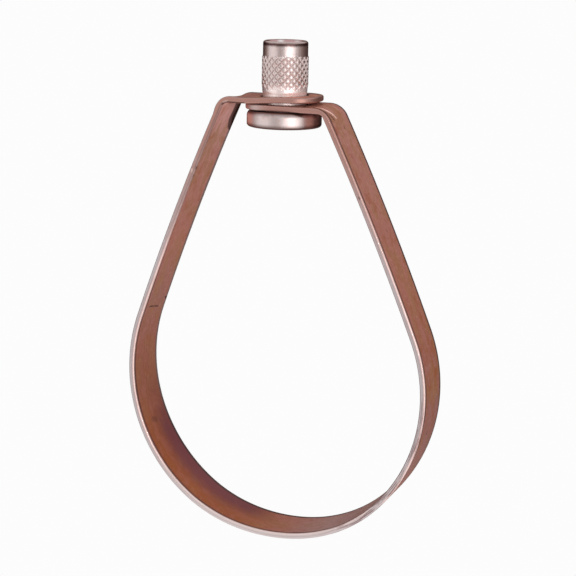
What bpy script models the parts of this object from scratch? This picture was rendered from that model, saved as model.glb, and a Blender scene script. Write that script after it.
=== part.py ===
"""A swivel ring hanger for a copper tube.

A flat strip is bent into a ring with straight legs. Its two ends lie over each other at the top, and
both are pierced. A turned nut with a flange passes through the holes, so that the ring swivels on it,
and a threaded rod screws down into the nut from above.

Z is the nut's axis. The origin is the middle of the nut's top face, and the ring hangs below it in the
XZ plane. All sizes are in metres, and the front of the ring faces -Y.
"""
import math

import bmesh
import bpy
from mathutils import Vector

# Strip
STRIP_WIDTH = 0.0198
STRIP_THICKNESS = 0.0020
STRIP_EDGE_ROUND = 0.0005

# Ring, along the middle of the strip's thickness. Each side is a lower arc, an upper arc and a leg that
# still curves a little, and it was sprung slightly out of round when its ends were brought together.
LOWER_ARC_SWEEP = math.radians(50.0)
LEFT_LOWER_RADIUS = 0.0539
LEFT_UPPER_RADIUS = 0.0571
RIGHT_LOWER_RADIUS = 0.0509
RIGHT_UPPER_RADIUS = 0.0559
LEFT_LEG_LEAN = math.radians(18.6)
RIGHT_LEG_LEAN = math.radians(22.0)
LEFT_LEG_RADIUS = 0.968
RIGHT_LEG_RADIUS = 1.042
RING_OFFSET_X = 0.00267
RING_DROP = 0.1430

# Shoulders, where the legs turn into the tabs
SHOULDER_OUTER_RADIUS = 0.0070
SHOULDER_INNER_RADIUS = 0.0020

# Tabs, measured from the nut's axis
TAB_REACH = 0.0128
TAB_CORNER_RADIUS = 0.0078
UPPER_TAB_RISE = 0.00085
TAB_RISE_START = -0.0120
TAB_RISE_RUN = 0.0185
HOLE_CLEARANCE = 0.00035
TAB_GAP = 0.00015

# Nut
NUT_HEIGHT = 0.0289
FLANGE_RADIUS = 0.01275
FLANGE_HEIGHT = 0.0055
FLANGE_TOP_ROUND = 0.0017
FLANGE_FOOT_ROUND = 0.0010
FLANGE_CLEARANCE = 0.0003
NECK_RADIUS = 0.0072
BODY_RADIUS = 0.00764
RIM_ROUND = 0.0009
THREAD_MINOR_RADIUS = 0.00399
MOUTH_RADIUS = 0.00635
MOUTH_DEPTH = 0.0024
FOOT_CHAMFER = 0.0011

# Diamond knurl
KNURL_CREST_RADIUS = 0.00788
KNURL_DEPTH = 0.00045
KNURL_STARTS = 20
KNURL_PITCH = 0.0025
KNURL_BASE = 0.0130
KNURL_HEIGHT = 0.01125
KNURL_LEAD_IN = 0.0017
KNURL_SHARPNESS = 1.5

# Fineness of the meshes
STEPS_PER_DIAMOND = 4
ROUND_STEPS = 4
CORNER_STEPS = 8
ARC_STEPS = 22
LEG_STEPS = 6
BEND_STEPS = 8
RISE_STEPS = 10
EDGE_STEPS = 2
HOLE_SIDES = 64

# Heights above the nut's foot, from which the tabs take their place
NUT_FOOT_Z = -NUT_HEIGHT
LOWER_TAB_MIDDLE = FLANGE_HEIGHT + FLANGE_CLEARANCE + STRIP_THICKNESS / 2
UPPER_TAB_MIDDLE = LOWER_TAB_MIDDLE + STRIP_THICKNESS + TAB_GAP
HOLE_RADIUS = KNURL_CREST_RADIUS + HOLE_CLEARANCE

COPPER_RING = ("copper_plate_ring", (0.60, 0.33, 0.25, 1.0), 0.38)
COPPER_NUT = ("copper_plate_nut", (0.72, 0.47, 0.40, 1.0), 0.20)


def make_material(name, colour, roughness):
    """Return a plated metal with one colour and roughness."""
    material = bpy.data.materials.new(name)
    material.use_nodes = True
    shader = material.node_tree.nodes["Principled BSDF"]
    shader.inputs["Base Color"].default_value = colour
    shader.inputs["Metallic"].default_value = 1.0
    shader.inputs["Roughness"].default_value = roughness
    return material


def add_object(name, mesh_builder, material):
    """Turn a bmesh into an object with smooth round faces and outward normals."""
    bmesh.ops.recalc_face_normals(mesh_builder, faces=mesh_builder.faces)
    mesh = bpy.data.meshes.new(name)
    mesh_builder.to_mesh(mesh)
    mesh_builder.free()
    mesh.materials.append(material)
    mesh.shade_smooth()
    mesh.set_sharp_from_angle(angle=math.radians(30))
    piece = bpy.data.objects.new(name, mesh)
    bpy.context.collection.objects.link(piece)
    return piece


def outward(heading):
    """Unit normal on the outer side of a path that runs at this heading in the XZ plane."""
    return Vector((math.sin(heading), -math.cos(heading)))


def arc_points(start, heading, radius, sweep, steps):
    """Follow an arc that turns inwards; return its points with their headings, and where it ends."""
    centre = start - outward(heading) * radius
    stations = []
    for step in range(steps):
        angle = heading + sweep * step / steps
        stations.append((centre + outward(angle) * radius, angle))
    end_heading = heading + sweep
    return stations, centre + outward(end_heading) * radius, end_heading


def fillet_centre(corner, first, second, radius):
    """Centre of the round of this radius between two lines with outward normals first and second."""
    return corner - (first + second) * radius / (1 + first.dot(second))


def ring_side(lower_radius, upper_radius, lean, leg_radius, bottom_x, tab_height, rise):
    """Stations of one side, from the ring's bottom up to the end of its tab.

    The side is worked out as a right-hand one, with +X away from the nut. A station is a point on the
    strip's outer face, the point across from it on the inner face, and half the strip's width there.
    """
    half = STRIP_THICKNESS / 2
    width = STRIP_WIDTH / 2
    bottom = Vector((bottom_x, NUT_FOOT_Z - RING_DROP))
    path, point, heading = arc_points(bottom, 0.0, lower_radius, LOWER_ARC_SWEEP, ARC_STEPS)
    upper_sweep = math.pi / 2 + lean - LOWER_ARC_SWEEP
    upper_path, point, heading = arc_points(point, heading, upper_radius, upper_sweep, ARC_STEPS)
    path += upper_path

    # The leg runs up to the height of its tab, and stops short of that corner to leave room for the bend.
    climb = NUT_FOOT_Z + tab_height - point.y
    leg_turn = math.acos(math.cos(heading) - climb / leg_radius) - heading
    corner = arc_points(point, heading, leg_radius, leg_turn, 1)[1]
    leg_end = heading + leg_turn
    leg_normal = outward(leg_end)
    tab_normal = outward(math.pi)
    bend_room = SHOULDER_OUTER_RADIUS * math.tan((math.pi - leg_end) / 2)
    path += arc_points(point, heading, leg_radius, leg_turn - bend_room / leg_radius, LEG_STEPS)[0]
    stations = [(at + outward(angle) * half, at - outward(angle) * half, width) for at, angle in path]

    # The outer face is bent round a wide radius, and the inner face is pressed to a sharper one.
    bisector = (leg_normal + tab_normal) / (1 + leg_normal.dot(tab_normal))
    outer_centre = fillet_centre(corner + bisector * half, leg_normal, tab_normal, SHOULDER_OUTER_RADIUS)
    inner_centre = fillet_centre(corner - bisector * half, leg_normal, tab_normal, SHOULDER_INNER_RADIUS)
    for step in range(BEND_STEPS + 1):
        normal = outward(leg_end + (math.pi - leg_end) * step / BEND_STEPS)
        stations.append((outer_centre + normal * SHOULDER_OUTER_RADIUS,
                         inner_centre + normal * SHOULDER_INNER_RADIUS, width))
    return stations + tab_stations(rise, tab_height)


def tab_stations(rise, height):
    """Stations of a tab from beside the hole to its rounded end, which lies beyond the nut's axis.

    The tab runs towards -X. It bends up softly as it crosses the nut, and is level again at its end.
    """
    half = STRIP_THICKNESS / 2
    start = -TAB_RISE_START
    rounded_from = TAB_CORNER_RADIUS - TAB_REACH
    places = [(start + (rounded_from - start) * step / RISE_STEPS, STRIP_WIDTH / 2)
              for step in range(RISE_STEPS)]
    for step in range(CORNER_STEPS + 1):
        turn = math.pi / 2 * step / CORNER_STEPS
        width = STRIP_WIDTH / 2 - TAB_CORNER_RADIUS * (1 - math.cos(turn))
        places.append((rounded_from - TAB_CORNER_RADIUS * math.sin(turn), width))
    stations = []
    for x, width in places:
        share = min((start - x) / TAB_RISE_RUN, 1.0)
        at = Vector((x, NUT_FOOT_Z + height + rise * share ** 2 * (3 - 2 * share)))
        slope = 6 * rise * share * (1 - share) / TAB_RISE_RUN
        normal = outward(math.pi - math.atan(slope))
        stations.append((at + normal * half, at - normal * half, width))
    return stations


def mirrored(stations):
    """The same stations on the other side of the nut's axis."""
    return [(Vector((-outer.x, outer.y)), Vector((-inner.x, inner.y)), width)
            for outer, inner, width in stations]


def strip_section(outer, inner, width):
    """Points round the strip's cross-section at a station, with its four edges rounded."""
    inwards = (inner - outer).normalized()
    corners = ((outer, inwards, -1), (outer, inwards, 1), (inner, -inwards, 1), (inner, -inwards, -1))
    section = []
    for number, (face, direction, side) in enumerate(corners):
        for step in range(EDGE_STEPS + 1):
            turn = math.pi / 2 * step / EDGE_STEPS
            if number % 2:
                turn = math.pi / 2 - turn
            at = face + direction * STRIP_EDGE_ROUND * (1 - math.sin(turn))
            reach = width - STRIP_EDGE_ROUND * (1 - math.cos(turn))
            section.append(Vector((at.x, side * reach, at.y)))
    return section


def build_ring(material):
    """The whole strip: one tab, its leg, the ring and the other leg and tab."""
    right = ring_side(RIGHT_LOWER_RADIUS, RIGHT_UPPER_RADIUS, RIGHT_LEG_LEAN, RIGHT_LEG_RADIUS,
                      RING_OFFSET_X, LOWER_TAB_MIDDLE, 0.0)
    left = ring_side(LEFT_LOWER_RADIUS, LEFT_UPPER_RADIUS, LEFT_LEG_LEAN, LEFT_LEG_RADIUS,
                     -RING_OFFSET_X, UPPER_TAB_MIDDLE, UPPER_TAB_RISE)
    stations = mirrored(left)[:0:-1] + right
    strip = bmesh.new()
    sections = [[strip.verts.new(point) for point in strip_section(*station)] for station in stations]
    count = len(sections[0])
    for near, far in zip(sections, sections[1:]):
        for index in range(count):
            following = (index + 1) % count
            strip.faces.new((near[index], near[following], far[following], far[index]))
    strip.faces.new(sections[0])
    strip.faces.new(sections[-1])
    ring = add_object("ring_band", strip, material)
    pierce_tabs(ring)
    return ring


def pierce_tabs(ring):
    """Cut the nut's hole down through both tabs."""
    drill = bmesh.new()
    top = NUT_FOOT_Z + UPPER_TAB_MIDDLE + 2 * STRIP_THICKNESS
    bottom = NUT_FOOT_Z + FLANGE_HEIGHT
    bmesh.ops.create_cone(drill, cap_ends=True, segments=HOLE_SIDES, radius1=HOLE_RADIUS,
                          radius2=HOLE_RADIUS, depth=top - bottom)
    bmesh.ops.translate(drill, vec=(0.0, 0.0, (top + bottom) / 2), verts=drill.verts)
    cutter = add_object("tab_drill", drill, ring.data.materials[0])
    cutter.hide_render = True
    cutter.display_type = "WIRE"
    cut = ring.modifiers.new("nut_hole", "BOOLEAN")
    cut.operation = "DIFFERENCE"
    cut.solver = "EXACT"
    cut.object = cutter


def quarter_round(centre_r, centre_z, radius, first, last):
    """Points of a rounded corner of the nut's profile, from one angle to another."""
    points = []
    for step in range(ROUND_STEPS + 1):
        angle = math.radians(first + (last - first) * step / ROUND_STEPS)
        points.append((centre_r + radius * math.cos(angle), centre_z + radius * math.sin(angle)))
    return points


def knurl_height(around, up):
    """Height of the knurl from 0 in a groove to 1 on a diamond, with both pitches taken as 1."""
    from_row = abs(up - round(up))
    from_column = abs(around - round(around))
    own = 1 - 2 * (from_row + from_column)
    neighbour = 2 * (from_row + from_column) - 1
    return min(1.0, KNURL_SHARPNESS * max(own, neighbour))


def nut_rings(sides):
    """Rings of the nut's surface, each a list of (radius, height above the foot) all the way round."""
    knurl_root = KNURL_CREST_RADIUS - KNURL_DEPTH
    foot = [(THREAD_MINOR_RADIUS, FOOT_CHAMFER), (THREAD_MINOR_RADIUS + FOOT_CHAMFER, 0.0)]
    flange = quarter_round(FLANGE_RADIUS - FLANGE_FOOT_ROUND, FLANGE_FOOT_ROUND, FLANGE_FOOT_ROUND, -90, 0)
    flange += quarter_round(FLANGE_RADIUS - FLANGE_TOP_ROUND, FLANGE_HEIGHT - FLANGE_TOP_ROUND,
                            FLANGE_TOP_ROUND, 0, 90)
    neck = [(NECK_RADIUS, FLANGE_HEIGHT), (NECK_RADIUS, KNURL_BASE - KNURL_LEAD_IN)]
    knurl_step = KNURL_PITCH / STEPS_PER_DIAMOND
    knurl_rings = round(KNURL_HEIGHT / knurl_step)
    knurl_top = KNURL_BASE + knurl_rings * knurl_step
    crown = [(BODY_RADIUS, knurl_top + KNURL_DEPTH)]
    crown += quarter_round(BODY_RADIUS - RIM_ROUND, NUT_HEIGHT - RIM_ROUND, RIM_ROUND, 0, 90)
    mouth = [(MOUTH_RADIUS, NUT_HEIGHT), (THREAD_MINOR_RADIUS, NUT_HEIGHT - MOUTH_DEPTH)]

    rings = [[point] * sides for point in foot + flange + neck]
    for row in range(knurl_rings + 1):
        up = row / STEPS_PER_DIAMOND
        height = KNURL_BASE + row * knurl_step
        rings.append([(knurl_root + KNURL_DEPTH * knurl_height(side / STEPS_PER_DIAMOND, up), height)
                      for side in range(sides)])
    return rings + [[point] * sides for point in crown + mouth]


def add_quad(nut, corners):
    """Add a four-sided face, split along the diagonal whose ends stand at the most even radius."""
    radius = [math.hypot(corner.co.x, corner.co.y) for corner in corners]
    if abs(radius[0] - radius[2]) < abs(radius[1] - radius[3]):
        halves = ((0, 1, 2), (0, 2, 3))
    else:
        halves = ((1, 2, 3), (1, 3, 0))
    for half in halves:
        nut.faces.new([corners[index] for index in half])


def build_nut(material):
    """The turned nut: flange, neck, knurled body, rounded rim and a bored, countersunk middle."""
    sides = KNURL_STARTS * STEPS_PER_DIAMOND
    nut = bmesh.new()
    loops = []
    for ring in nut_rings(sides):
        loop = []
        for side, (radius, height) in enumerate(ring):
            angle = 2 * math.pi * side / sides
            place = (radius * math.cos(angle), radius * math.sin(angle), NUT_FOOT_Z + height)
            loop.append(nut.verts.new(place))
        loops.append(loop)
    for below, above in zip(loops, loops[1:] + loops[:1]):
        for side in range(sides):
            following = (side + 1) % sides
            add_quad(nut, (below[side], below[following], above[following], above[side]))
    return add_object("swivel_nut", nut, material)


def main():
    """Clear the scene and build both pieces where they belong."""
    for old in list(bpy.data.objects):
        bpy.data.objects.remove(old)
    build_ring(make_material(*COPPER_RING))
    build_nut(make_material(*COPPER_NUT))


main()
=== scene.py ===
"""A swivel ring hanger for a copper tube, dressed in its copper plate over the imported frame.

The band is one strip that follows the same path as the solid it stands for, with rolled edges, pressed
shoulders and two pierced tabs. The nut is a turned profile that Geometry Nodes carry round its axis, with a
diamond knurl outside and a coarse thread inside. All sizes are in metres, and the front faces -Y.
"""
import math

import bmesh
import bpy
from bpy.props import FloatProperty, FloatVectorProperty, IntProperty, PointerProperty
from mathutils import Matrix, Vector


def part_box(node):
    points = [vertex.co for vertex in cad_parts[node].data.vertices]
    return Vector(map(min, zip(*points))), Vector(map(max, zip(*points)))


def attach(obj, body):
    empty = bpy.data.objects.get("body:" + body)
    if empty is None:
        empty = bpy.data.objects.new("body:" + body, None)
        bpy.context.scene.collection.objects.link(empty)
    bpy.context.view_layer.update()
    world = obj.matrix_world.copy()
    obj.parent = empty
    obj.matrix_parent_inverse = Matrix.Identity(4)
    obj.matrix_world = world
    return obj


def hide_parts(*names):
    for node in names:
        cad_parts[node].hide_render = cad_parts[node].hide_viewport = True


bl_info = {
    "name": "Swivel ring hanger",
    "version": (1, 0, 0),
    "blender": (4, 5, 0),
    "location": "3D View > Sidebar > Hanger",
    "description": "Makes a swivel ring hanger's copper-plated band and knurled nut, and a small studio",
    "category": "Add Mesh",
}

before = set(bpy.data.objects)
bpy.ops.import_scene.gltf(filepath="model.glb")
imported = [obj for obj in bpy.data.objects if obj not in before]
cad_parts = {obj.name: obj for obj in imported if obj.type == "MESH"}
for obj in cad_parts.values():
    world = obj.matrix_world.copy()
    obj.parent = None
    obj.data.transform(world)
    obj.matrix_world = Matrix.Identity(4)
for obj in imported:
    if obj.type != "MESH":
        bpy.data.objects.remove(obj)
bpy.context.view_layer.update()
BAND_LOW, BAND_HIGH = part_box("ring_band")
NUT_LOW, NUT_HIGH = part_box("swivel_nut")
NUT_FOOT_Z = NUT_LOW.z

MM = 0.001

# How finely the band is divided
ARC_STEPS = 64
LEG_STEPS = 52
BEND_STEPS = 28
LAP_STEPS = 14
ROUND_STEPS = 5
CORNER_STEPS = 14
TAB_SIDE_STEPS = 26
TAB_END_STEPS = 10
FACE_MARGINS = (0.0, 0.12, 0.3, 0.6, 1.0, 1.5)
FACE_STEPS = 40
TAB_RING_SHARES = (0.0, 0.03, 0.09, 0.2, 0.36, 0.52, 0.68, 0.82, 0.92, 0.97, 1.0)

# Beyond its square part a tab has its hole and its rounded end.
TAB_SQUARE = 0.0099
HOLE_RIM_ROUND = 0.00022

# The share of a mark's width over which it is full
MARK_CORE = 0.35

# Nicks, scratches and a small stain on the flat strip, with painted shade and highlights at the two
# shoulders:
# each is a line from one (along, across, through) to another in millimetres, with its width and strength.
# Along is negative on the left. Through is 1 on the outer face and -1 on the inner one.
DARK_MARKS_AND_SHADE = (
    ((-108.7, -5.4, -1.0), (-107.0, 3.2, -1.0), 0.42, 0.85),
    ((-163.6, -9.5, -0.6), (-162.9, -9.3, -0.9), 0.55, 0.7),
    ((-160.4, -9.3, -0.9), (-159.6, -9.4, -0.6), 0.45, 0.7),
    ((-109.8, 7.5, -1.0), (-109.0, 8.9, -1.0), 0.60, 0.95),
    # Painted shade at the front of the left shoulder's inner bend
    ((-196.2, -9.7, -0.80), (-187.2, -9.7, -0.80), 0.46, 0.80),
    ((70.6, -1.1, 1.0), (71.2, -1.0, 1.0), 0.65, 0.85),
    ((155.6, -9.9, 0.1), (156.2, -9.9, 0.0), 0.38, 0.6),
    ((179.4, 1.1, 1.0), (179.8, 1.2, 1.0), 0.50, 0.6),
    # Painted shade in the groove of the pinch mark on the right shoulder
    ((189.6, -7.7, 1.0), (185.4, -8.5, 1.0), 0.50, 0.8),
    ((185.4, -8.5, 1.0), (183.2, -8.3, 1.0), 0.45, 0.7),
    ((-64.9, -2.6, -1.0), (-64.4, -0.6, -1.0), 1.6, 0.35),
    # More painted shade along the pinch mark's groove
    ((186.6, -8.1, 1.0), (183.8, -5.2, 1.0), 0.45, 0.75),
)
PALE_MARKS_AND_HIGHLIGHTS = (
    # Painted highlight on the pinch mark's ridge
    ((187.9, -7.1, 1.0), (184.3, -2.6, 1.0), 0.45, 0.55),
    # Painted highlight just above the left shoulder's inner corner
    ((-190.4, -9.9, -0.45), (-188.6, -9.9, -0.50), 0.45, 0.40),
    ((-162.3, -9.8, 0.2), (-161.4, -9.8, 0.1), 0.45, 0.7),
)

# Zones along the strip in millimetres: where each begins, is full, starts to fade and ends
TARNISHED_ZONE = (-112.0, -78.0, -14.0, 4.0)
DEEPEST_ZONE = (-78.0, -48.0, -24.0, -6.0)
PALE_ZONE = (-4.0, 22.0, 40.0, 84.0)
STREAKED_ZONE = (14.0, 34.0, 70.0, 92.0)

# Where something is strongest along the strip, and how far from there it reaches, in millimetres
COOL_INSIDE_AT = (-112.0, 26.0)
COOL_OUTSIDE_AT = (62.0, 56.0)
SHADED_AT = (48.0, 46.0)
GOLDEN_AT = (92.0, 30.0)

# Where something begins along the strip, and where it is full
PINKER_FROM = (90.0, 190.0)
ROSY_FROM = (160.0, 184.0)
DULL_EDGE_FROM = (120.0, 185.0)
BRIGHT_EDGE_FROM = (70.0, 20.0)
RIGHT_TAB_TOP = (186.0, 191.0)
LEFT_TAB_TOP = (-196.0, -206.0)
RIGHT_TAB_END = (205.0, 212.0)
GOLDEN_TARNISH_FROM = (-88.0, -50.0)
HEAT_FROM = (-84.0, -54.0)
HEAT_ENDS = (0.0, -18.0)
# Where the painted edge highlight moves from the inner face's round to the outer face's round
OUTSIDE_HIGHLIT_FROM = (32.0, 50.0)
UPPER_LEFT_FROM = (-128.0, -152.0)
LEFT_SHOULDER_ENDS = (-192.0, -184.0)
LEFT_LEG_FROM = (-105.0, -150.0)
GREYER_FROM = (-55.0, -85.0)

# The painted shadow that the flange casts on the left leg's inner face: where its border slants, and its
# lower and upper ends
FLANGE_SHADOW_SLANT = (-181.8, -176.0)
FLANGE_SHADOW_LOWER_END = (-174.8, -175.8)
FLANGE_SHADOW_UPPER_END = (-192.0, -190.6)

# Colours that masks mix into the strip's faces
LEFT_TARNISH = (0.32, 0.130, 0.085)
SHADED_BACK = (0.15, 0.115, 0.11)
PALE_COPPER = (0.70, 0.54, 0.53)
WARM_TAB = (0.84, 0.43, 0.31)
ROSY_COPPER = (0.68, 0.42, 0.39)
BROWN_TINT = (0.38, 0.195, 0.10)
RED_TINT = (0.46, 0.205, 0.180)
ROLLED_LINES = (0.33, 0.15, 0.12)
LIGHT_GRAIN = (0.66, 0.40, 0.33)
DARK_GRAIN = (0.24, 0.085, 0.055)
DARK_SPECKS = (0.18, 0.085, 0.06)
PALE_TAB_END = (0.62, 0.53, 0.52)
# Painted shadow of the flange on the left leg, and its darkest part towards the back edge
FLANGE_SHADOW = (0.190, 0.110, 0.112)
FLANGE_SHADOW_DARKEST = (0.022, 0.011, 0.012)
DARK_MARK_AND_SHADE = (0.07, 0.03, 0.026)
PALE_MARK_AND_HIGHLIGHT = (0.86, 0.62, 0.55)

# Colours that multiply the ones under them
DEEP_TARNISH = (0.82, 0.70, 0.60)
COOL_INSIDE = (0.79, 0.935, 1.04)
COOL_OUTSIDE = (0.74, 1.0, 1.30)
# Dims the painted edge highlight on the upper left leg
DIMMED_HIGHLIGHT = (0.66, 0.68, 0.70)

# Colours of the strip's rolled edges and of the lines beside them
# Painted highlight on the round between an edge and the face that is seen
EDGE_HIGHLIGHT = (0.90, 0.66, 0.62)
BRIGHT_EDGE = (0.88, 0.78, 0.765)
SHORT_STREAK = (0.46, 0.32, 0.31)
LONG_STREAK = (0.42, 0.27, 0.25)
DARK_STREAK = (0.24, 0.13, 0.13)
# Painted shade on the edges' corners away from the painted highlight
EDGE_SHADE = (0.30, 0.275, 0.285)
FRONT_LINE = (0.085, 0.043, 0.042)
# Painted shade along the back edges, plain and greyer
BACK_SHADE = (0.070, 0.040, 0.040)
GREY_BACK_SHADE = (0.155, 0.125, 0.125)

# Colours that masks mix into the nut's plate
SMUDGED_PLATE = (0.74, 0.48, 0.42)
TURNED_LINES = (0.60, 0.46, 0.45)
# Painted shade on the rim and on the flange's rounds
ROUND_SHADE = (0.095, 0.034, 0.030)
# Painted shade and a painted glint inside the countersunk mouth, and darker shade just inside its lip
MOUTH_SHADE = (0.62, 0.36, 0.37)
MOUTH_GLINT = (1.0, 0.94, 0.93)
LIP_SHADE = (0.13, 0.060, 0.066)
# Painted shade on the flange's side towards the camera's right
FLANGE_SIDE_SHADE = (0.060, 0.028, 0.036)
# Painted highlight on the neck
NECK_HIGHLIGHT = (0.92, 0.78, 0.76)

# Colours that the two metals' reflections take at their edges
STRIP_SHEEN = (0.80, 0.55, 0.47)
NUT_SHEEN = (0.85, 0.70, 0.66)

# The left shoulder's bend is a little sharper in front, and dished across the strip, so its edges stand up.
BEND_AT = -0.1885
BEND_SQUARE = 0.0006
BEND_SQUARE_REACH = 0.0055
BEND_DISH = 0.0008
BEND_DISH_REACH = 0.0130

# The ring is slightly flattened at its bottom, and its back edge is drawn in at the lower left.
FLAT_BOTTOM = 0.00055
FLAT_BOTTOM_REACH = 0.034
DRAWN_BACK = 0.00085
DRAWN_BACK_AT = -0.046
DRAWN_BACK_REACH = 0.062

# The pinch mark on the right shoulder, from its upper end near the front edge down the leg
MARK_START = 0.1885
MARK_ACROSS = -0.0066
MARK_SLOPE = 0.95
MARK_LENGTH = 0.0052
MARK_START_FADE = 0.0015
MARK_END_FADE = 0.0012
RIDGE_HEIGHT = 0.00012
RIDGE_WIDTH = 0.00042
GROOVE_DEPTH = 0.00018
GROOVE_WIDTH = 0.00034
GROOVE_AT = 0.0009

# How finely the nut is divided
STEPS_PER_DIAMOND = 12
STEPS_PER_KNURL_ROW = 16
STEPS_PER_PITCH = 9
TURNED_ROUND_STEPS = 8
LEAD_IN_STEPS = 8
SEAM_GAP = 0.000002
SHARP_DEGREES = 38

# The camera's right, along which the nut's painted glints and its painted shade lie, as shares of X and Y
ASIDE_X = 0.94
ASIDE_Y = 0.34

# Heights above the nut's foot in millimetres: where the painted highlight on the neck begins, is full,
# fades and ends
NECK_HIGHLIGHT_ZONE = (7.5, 8.5, 12.4, 15.5)

# The nut's smallest rounds, and how its knurl and its thread run out at their ends
NECK_FILLET = 0.0003
LIP_ROUND = 0.0001
KNURL_RUN_OUT = 0.0009
KNURL_FOOT_SHARE = 0.4
THREAD_RUN_OUT = 0.0004
THREAD_FLAT = 1.12
THREAD_FLANK = 2.3

# A point of the nut is outside when it is this many bore radii from the axis. The thread's turns are
# counted from well below the nut, so that their number is never negative.
OUTSIDE_SHARE = 1.5
TURNS_BELOW = 8.0

# The studio's glow round the hanger: degrees to the right of the camera, and how bright it is there
GLOW = ((-180, 0.06), (-130, 0.08), (-109, 0.27), (-85, 0.80), (-55, 0.88), (-31, 0.38), (-8, 0.55),
        (12, 1.75), (34, 1.75), (50, 0.72), (68, 0.42), (94, 0.20), (110, 0.12), (130, 0.07), (179, 0.06))

# The glow below and above: how bright it is, and the upward part of a direction where it begins and is full
GLOW_BELOW = (0.80, -0.34, -0.62)
GLOW_ABOVE = (0.74, 0.20, 0.60)
WHITE = (1.0, 1.0, 1.0)
WARM_LIGHT = (1.0, 0.70, 0.64)

# Each area light's azimuth and elevation in degrees, distance, width and height
KEY_LIGHT = (38.0, 8.0, 1.6, 0.35, 0.50)
FILL_LIGHT = (-45.0, 10.0, 1.6, 0.5, 0.6)

# The width of the camera's sensor, and how near and how far it sees
SENSOR_MM = 36.0
NEAREST_SEEN = 0.01
FARTHEST_SEEN = 200.0

# The kinds of number that the nut's Geometry Nodes take
SOCKET_KINDS = {int: "NodeSocketInt", float: "NodeSocketFloat"}


def metres(name, description, default, precision=5):
    """A length that the panel shows."""
    return FloatProperty(name=name, description=description, default=default, unit="LENGTH",
                         precision=precision)


def degrees(name, description, default):
    """An angle that the panel shows, given in degrees."""
    return FloatProperty(name=name, description=description, default=math.radians(default), unit="ROTATION")


def tint(name, description, default):
    """A colour that the panel shows."""
    return FloatVectorProperty(name=name, description=description, default=default, subtype="COLOR", size=3)


def spot(name, description, default):
    """A point that the panel shows."""
    return FloatVectorProperty(name=name, description=description, default=default, subtype="TRANSLATION",
                               unit="LENGTH", size=3, precision=4)


class BandSizes(bpy.types.PropertyGroup):
    """Sizes and colours of the band."""

    width: metres("Strip width", "Width of the strip, along the tube", BAND_HIGH.y - BAND_LOW.y)
    thickness: metres("Strip thickness", "Thickness of the strip", 0.0020)
    edge_round: metres("Edge round", "Radius of the strip's rolled edges", 0.0006)
    bottom_sweep: degrees("Bottom sweep", "Turn of each of the two arcs at the ring's bottom", 50.0)
    left_bottom_radius: metres(
        "Left bottom radius", "Radius of the left arc at the bottom, at mid thickness", 0.0539)
    left_side_radius: metres(
        "Left side radius", "Radius of the left arc beside the tube, at mid thickness", 0.0571)
    left_lean: degrees("Left lean", "Lean of the left leg where it leaves the ring", 18.6)
    left_leg_radius: metres("Left leg radius", "Slight curve of the left leg", 0.968)
    right_bottom_radius: metres(
        "Right bottom radius", "Radius of the right arc at the bottom, at mid thickness", 0.0509)
    right_side_radius: metres(
        "Right side radius", "Radius of the right arc beside the tube, at mid thickness", 0.0559)
    right_lean: degrees("Right lean", "Lean of the right leg where it leaves the ring", 22.0)
    right_leg_radius: metres("Right leg radius", "Slight curve of the right leg", 1.042)
    bottom_offset: metres(
        "Bottom offset", "How far the ring's lowest point lies to the right of the nut's axis", 0.00267)
    drop: metres("Drop", "From the nut's foot down to the ring's lowest point, at mid thickness", 0.1430)
    shoulder_outside: metres(
        "Shoulder outside", "Radius of the shoulders on the strip's outer face", 0.0070)
    shoulder_inside: metres("Shoulder inside", "Radius of the shoulders on the strip's inner face", 0.0020)
    tab_reach: metres("Tab reach", "From the nut's axis to a tab's free end", 0.0128)
    tab_corner: metres("Tab corner", "Radius of a tab's two corners", 0.0078)
    upper_tab_rise: metres(
        "Upper tab rise", "How much higher the upper tab's free end is than its root", 0.00085)
    tab_rise_start: metres(
        "Tab rise start", "Distance from the nut's axis at which the upper tab starts to rise", 0.0120)
    tab_rise_run: metres("Tab rise run", "Length over which the upper tab rises", 0.0185)
    lower_tab_height: metres(
        "Lower tab height", "From the nut's foot up to the middle of the lower tab", 0.0068)
    upper_tab_height: metres(
        "Upper tab height", "From the nut's foot up to the middle of the upper tab", 0.00895)
    hole_radius: metres("Hole radius", "Radius of the hole that both tabs share with the nut", 0.00823)
    face_colour: tint("Face colour", "Copper plate on the strip's two faces", (0.445, 0.185, 0.13))
    pink_colour: tint(
        "Rubbed colour", "Pinker copper towards the shoulders, where hands have rubbed it",
        (0.53, 0.275, 0.235))
    tarnish_colour: tint(
        "Tarnish colour", "Golden brown tarnish along the ring's bottom", (0.36, 0.125, 0.052))
    heat_colour: tint("Heat colour", "Purple heat tint beside the golden tarnish", (0.145, 0.044, 0.060))
    edge_colour: tint("Edge colour", "Bright plate on the rolled edges", (0.60, 0.53, 0.535))
    dull_edge_colour: tint(
        "Dull edge colour", "Duller, redder plate on the edges of the shoulders and tabs",
        (0.50, 0.265, 0.22))


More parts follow.
